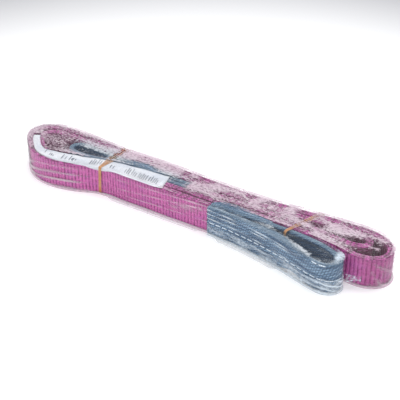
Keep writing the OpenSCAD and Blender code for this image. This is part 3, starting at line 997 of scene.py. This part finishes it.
def film_side(name, route, inward, haze_at, glint_at):
    """The film's side: up the pack, over the edge and a little way in on top. levels holds how
    far in it is at each height."""
    levels = [(-SIDE_FOOT, 0.12), (0.2, 0.5), (0, 1.5)]
    levels += [(0, z) for z in np.linspace(3, 29.6, 42)]
    levels += [(0.1, RIM_Z), (0.35, 31.7), (0.8, 32.4), (2.0, FILM_H + 0.03), (4.4, FILM_H + 0.05)]
    rows = []
    for s, place, left in zip(route.s, route.xy, route.left):
        row = []
        for d, z in levels:
            loose = wrinkled(s, z) if 2 < z < 30 else 0.0
            if BAND_TRAVEL[0] < place[0] < BAND_TRAVEL[1]:
                loose *= BAND_ROOM
            x, y = place + left * inward * (d + abs(loose) * 0.8)
            # The glint is painted highlight along creases; the foot below 1.6 mm takes the same pale
            # tone
            glint = 0.75 if z < 1.6 else min(0.85, max(0.0, glint_at(x, y, z)))
            row.append(((x, y, z), (s, z), haze_at(x, y, z, s), glint, 0.35 * fade(x, -176, -204)))
        rows.append(row)
    return sheet_mesh(name, rows, ("haze", "glint", "cool"))


def film_top_height(x, y, edge):
    """The top's height: it ripples down, less so near its edge."""
    ripple = 0.25 * rough(x, y * 1.6, 0, 12, 3) + 0.1 * rough(x, y, 0, 4, 8)
    return FILM_H - 0.05 - min(1.0, edge / 5) * abs(ripple)


def pack_top_haze(x, y):
    if over_label(x, y):
        return LABEL_HAZE
    haze = TOP_HAZE + 0.12 * rough(x * 0.4, y, 0, 7, 1.7) - clinging(x, y)
    return min(HAZIEST, max(CLEAREST, haze))


# Pale streaks of the film along the front of the left end: height, half-height and how pale
LEFT_STREAKS = [(26.3, 1.3, 0.5), (19.0, 1.9, 0.75), (11.0, 1.6, 0.8), (2.6, 2.0, 0.8)]
STREAK_SAG = 11.83
# Painted highlights along thin creases of the film on the front run: height at x = 0, rise per mm and
# half-height
FRONT_CREASE_GLINTS = [(28.2, 0.050, 0.8), (22.2, 0.115, 0.8), (11.5, 0.045, 0.5)]


def front_haze(x, z, s):
    """The front run and the left end: faint, with streaks to the left that sag round the end."""
    haze = 0.12 + 0.10 * rough(s, z * 3, 0, 22, 5)
    sag = STREAK_SAG * fade(x, -132, -184) ** 2
    for height, half, pale in LEFT_STREAKS:
        wander = 0.8 * rough(s, height, 0, 40, 3)
        streak = blob(z + sag * blob(z, 14, 16) + wander, height, half)
        haze += 0.7 * pale * fade(x, -96, -126) * streak
    haze += 0.45 * fade(x, -170, -192) + 0.45 * fade(x, -180, -204)
    if x > -56:
        uneven = 0.8 + 0.7 * rough(x, z * 3, 0, 10, 6)
        haze += 0.42 * blob(x, 10, 26) * blob(z, 18 + 0.2 * x, 5) * uneven
    return haze


# Painted highlights along the front run's film creases
def front_glint(x, y, z):
    if y > 6 or not -100 < x < 40:
        return 0.0
    return sum(blob(z, height + rise * x, half) * (0.6 + 0.7 * rough(x, 3, height, 16))
               for height, rise, half in FRONT_CREASE_GLINTS) * fade(x, -100, -40)


def loop_haze(x, z, s):
    """The right end: clear next to the eye, then creases that fan out, then a grey edge."""
    fan = math.sin((z - 12) * 0.45 + (x - 190) * 0.55 + 2.2 * rough(s, z, 0, 12, 3))
    haze = 0.06 + 0.20 * max(0.0, fan) + 0.12 * rough(s, z * 2, 0, 6, 3)
    haze += 0.24 * fade(x, 197, 209) + 0.2 * blob(z, 2.5, 2.5)
    return haze - 0.3 * blob(z, 29.5, 1.5)


def pack_side_haze(x, y, z, s):
    if z > RIM_Z:
        return LABEL_HAZE if x < LABEL_START_X - 1 and y < 20 else RIM_HAZE
    if x < 40 and y < 6 or x < -185:
        haze = front_haze(x, z, s)
    elif x > 150 and y < 26:
        haze = loop_haze(x, z, s)
    else:
        haze = 0.32 + 0.2 * rough(s, z * 3, 0, 14, 6)
    return min(SIDE_HAZIEST, max(CLEAREST, haze))


BEAD_SPAN = (84, 152)


def bead_line(x):
    """The line along the near leg's upper edge where the film is puckered."""
    return np.interp(x, [98, 116, 128, 140, 150], [-1.0, -6.0, -11.0, -16.5, -21.5])


def eye_top_haze(x, y):
    """Clear over the eye's opening and over its slit, and beaded along the near leg."""
    haze = 0.25 + 0.16 * rough(x * 0.5, y, 0, 6, 4.1)
    inside = fade(x, 100, 110) * blob(y, np.interp(x, [96, 175], [3, -13]), 7)
    haze -= 0.8 * inside * fade(x, 174, 166)
    slit = fade(x, 46, 54) * fade(x, 104, 96)
    haze -= 0.4 * slit * blob(y, np.interp(x, [46, 104], [2.4, 1.8]), 1.5)
    haze -= 0.3 * blob(x, 136, 16) * blob(y, 3, 5)
    if BEAD_SPAN[0] < x < BEAD_SPAN[1]:
        ripple = 0.75 + 0.6 * rough(x * 3, y * 2, 0, 4)
        haze += 0.75 * blob(y, bead_line(x) + 0.8, 2.9) * ripple * fade(x, 84, 106)
    haze += 0.45 * blob(x, 174, 6) * blob(y, -9, 9)
    return min(HAZIEST, max(EYE_CLEAREST, haze))


def eye_top_cool(x, y):
    return blob(y, bead_line(x) + 0.8, 3.2) if BEAD_SPAN[0] < x < BEAD_SPAN[1] else 0.0


# Painted highlights along creases of the film on the near leg: height at x = 36, rise per mm and
# half-height
EYE_CREASE_GLINTS = [(29.2, -0.012, 0.7), (24.6, 0.012, 0.6), (20.0, -0.030, 0.6)]


def eye_side_haze(x, y, z, s):
    if z > RIM_Z:
        return RIM_HAZE
    haze = 0.03 + 0.39 * fade(z, 13.8, 10.8) + 0.10 * rough(s, z * 2.2, 0, 9, 6)
    haze += 0.26 * rough(s, z * 6, 0, 16, 2)
    haze += 0.3 * fade(x, 140, 155) * blob(z, 14, 3)
    if x > 160 and z < 17:
        swirl = math.sin(1.25 * z + 0.42 * (y + 13) + 1.5 * rough(s, z, 0, 10, 8))
        haze += 0.40 * max(0.0, swirl) ** 2 * fade(x, 160, 172)
    haze += 0.30 * blob(x, 128, 16) * blob(z, 14 - (x - 128) * 0.1, 3) * (y < -8)
    return min(SIDE_HAZIEST, max(CLEAREST, haze))


# Painted highlights on the eye's film: along the near leg's creases and in curls round the bight
def eye_glint(x, y, z):
    total = 0.0
    if y < 0 and x < 150:
        for height, rise, half in EYE_CREASE_GLINTS:
            line = height + rise * (x - 36) + 0.8 * rough(x, height, 0, 30)
            total += blob(z, line, half) * (0.5 + 1.1 * rough(x, 3, height, 11))
    if x > 158 and z < 18:
        curl = 10 + 3.5 * math.sin(0.16 * (y + 6) + 0.5 * rough(x, y, 0, 9))
        total += 0.8 * blob(z, curl, 0.6) + 0.6 * blob(z, 0.6 * curl, 0.5)
    return total


film_route = Route(FILM_WALL)
film_outline = np.vstack([film_route.xy, Route(FILM_BACK).xy])
eye_route = Route(EYE_WALL, EYE_STEP)
eye_outline = np.vstack([eye_route.xy, Route(EYE_BACK).xy])

top = film_top("film_pack_top", film_outline, pack_top_haze, pack_top_cool, across=56)
side = film_side("film_pack_side", film_route, -1, pack_side_haze, front_glint)
for part, material in ((top, FILM), (side, SIDE_FILM)):
    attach(dress(part, material, "film_cover"), "pack")

eye_film_top = film_top("film_eye_top", eye_outline, eye_top_haze, eye_top_cool, across=30)
eye_film_side = film_side("film_eye_side", eye_route, 1, eye_side_haze, eye_glint)
for part in (eye_film_top, eye_film_side):
    bend_with_eye(dress(part, EYE_FILM, "film_eye_cover"))

for node in ("film_base", "film_eye_base"):
    set_material(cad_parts[node], FILM_BASE)


SEAL_W = 4.6


def make_sealed_edge(name, node, route, side):
    """The sealed edge of the film, which lies on the surface in front and ripples a little."""
    rows = []
    for i, s in enumerate(route.s):
        ends = min(1.0, 0.3 + min(i, len(route) - 1 - i) / 5)
        row = []
        for q in (k / 6 for k in range(7)):
            lift = 0.12 + 0.75 * q * (0.5 + 0.5 * rough(s, q * 9, 0, 13, 9))
            x, y = route.xy[i] + route.left[i] * side * (SEAL_W * ends) * q
            row.append(((x, y, lift), (s, q * SEAL_W)))
        rows.append(row)
    sealed = sheet_mesh(name, rows)
    sealed.modifiers.new("thickness", "SOLIDIFY").thickness = 0.12 * MM
    return dress(sealed, FILM_SEAL, node)


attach(make_sealed_edge("film_pack_flap", "film_seal",
                         Route([(CROTCH_X - 6, -0.9), (-85, -0.9)]), 1), "pack")
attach(make_sealed_edge("film_eye_flap", "film_eye_seal",
                         eye_route.cut(lambda x, y: 44 <= x <= 118), -1), "outer_eye")

TAIL_START, TAIL_LEN = (181.6, -7.5), (12.5, 6.4)
TAIL_FOLDS, FOLD_GAP = 4, 2.6


def make_tuft():
    """Folds of crumpled film between the eye's bight and the right end of the pack."""
    verts, faces, uvs, haze = [], [], [], []
    columns = 18
    for fold in range(TAIL_FOLDS):
        first = len(verts)
        for j in range(columns):
            u = j / (columns - 1)
            x = TAIL_START[0] + TAIL_LEN[0] * u
            y = TAIL_START[1] + TAIL_LEN[1] * u + 0.9 * math.sin(4 * u + fold) - 0.25 * fold
            z = 7.0 + FOLD_GAP * fold + 2.2 * math.sin(2.4 * u + 0.8 * fold) * u
            for w, out in ((-1.0, 0.0), (0.0, -0.6), (1.0, 0.0)):
                verts.append((x, y + out, z + w * (1.0 - 0.4 * u)))
                uvs.append((x * MM, (z + w) * MM))
                haze.append(0.35 + 0.5 * rough(x, z, w, 2.5, 2))
        for j in range(columns - 1):
            for w in range(2):
                a = first + 3 * j + w
                faces.append((a, a + 1, a + 4, a + 3))
    tuft = new_mesh("film_gathered_tail", verts, faces, uvs, {"haze": haze})
    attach(dress(tuft, EYE_FILM, "film_tuft"), "pack")


make_tuft()

# ------------ floor, light, camera
CAM_AZ, CAM_EL = math.radians(32.48), math.radians(32.99)
CAM_DISTANCE = 0.981
CAM_TARGET = Vector((0.00491, 0.01185, 0.016))
CAM_LENS = 90.0
# Painted shade on the floor: pale up to the first distance from the middle, dull from the second on
FLOOR_SHADE_FROM, FLOOR_SHADE_FULL = 0.36, 0.66
FLOOR_HALF = 6


def make_stage():
    m = Shader("white_floor")
    place = m.node("TexCoord").outputs["Object"]
    cloud = m.noise(place, 3, 2)
    far = m.node("VectorMath", {0: place}, operation="LENGTH").outputs["Value"]
    tone = m.mix(cloud, (0.93, 0.93, 0.935), (0.95, 0.95, 0.95))
    # Painted shade: the floor darkens away from the middle as if the light fell off
    tone = m.mix(m.ramp(far, FLOOR_SHADE_FROM, FLOOR_SHADE_FULL), tone, (0.32, 0.32, 0.34))
    # The floor glows a little, painted light that lifts the shadows on it
    floor_mat = m.finish(m.principled(
        Base_Color=tone, Roughness=0.75, Emission_Color=(1, 1, 1), Emission_Strength=0.16))
    mesh = bpy.data.meshes.new("floor")
    corners = [(-1, -1), (1, -1), (1, 1), (-1, 1)]
    mesh.from_pydata([(a * FLOOR_HALF, b * FLOOR_HALF, 0) for a, b in corners], [], [(0, 1, 2, 3)])
    floor = added("floor", mesh)
    set_material(floor, floor_mat)


def aim(obj, place, back):
    """Put a light or the camera at a place, with its back towards this direction."""
    obj.location = place
    obj.rotation_mode = "QUATERNION"
    obj.rotation_quaternion = (-Vector(back)).to_track_quat("-Z", "Y")
    return obj


def area_light(name, place, size, power):
    """A square light at a place, turned to the middle of the model."""
    data = bpy.data.lights.new(name, "AREA")
    data.shape, data.size, data.energy = "SQUARE", size, power
    aim(added(name, data), place, place)


def make_light():
    world = bpy.data.worlds.new("studio")
    world.use_nodes = True
    sky = world.node_tree.nodes["Background"].inputs
    sky["Color"].default_value, sky["Strength"].default_value = (0.97, 0.98, 1.0, 1.0), 0.62
    bpy.context.scene.world = world
    area_light("top_softbox", (0.1, 0.35, 1.1), 1.1, 11)
    area_light("left_softbox", (-1.0, -0.5, 0.8), 0.8, 4)
    area_light("front_fill", (0.7, -1.1, 0.7), 0.9, 3)


def make_camera():
    back = Vector((math.sin(CAM_AZ) * math.cos(CAM_EL), -math.cos(CAM_AZ) * math.cos(CAM_EL),
                   math.sin(CAM_EL)))
    data = bpy.data.cameras.new("camera")
    data.lens, data.sensor_width = CAM_LENS, 36.0
    data.clip_start, data.clip_end = 0.05, 50
    bpy.context.scene.camera = aim(added("camera", data), CAM_TARGET + back * CAM_DISTANCE, back)


make_stage()
make_light()
make_camera()
bpy.context.scene.view_settings.view_transform = "Standard"
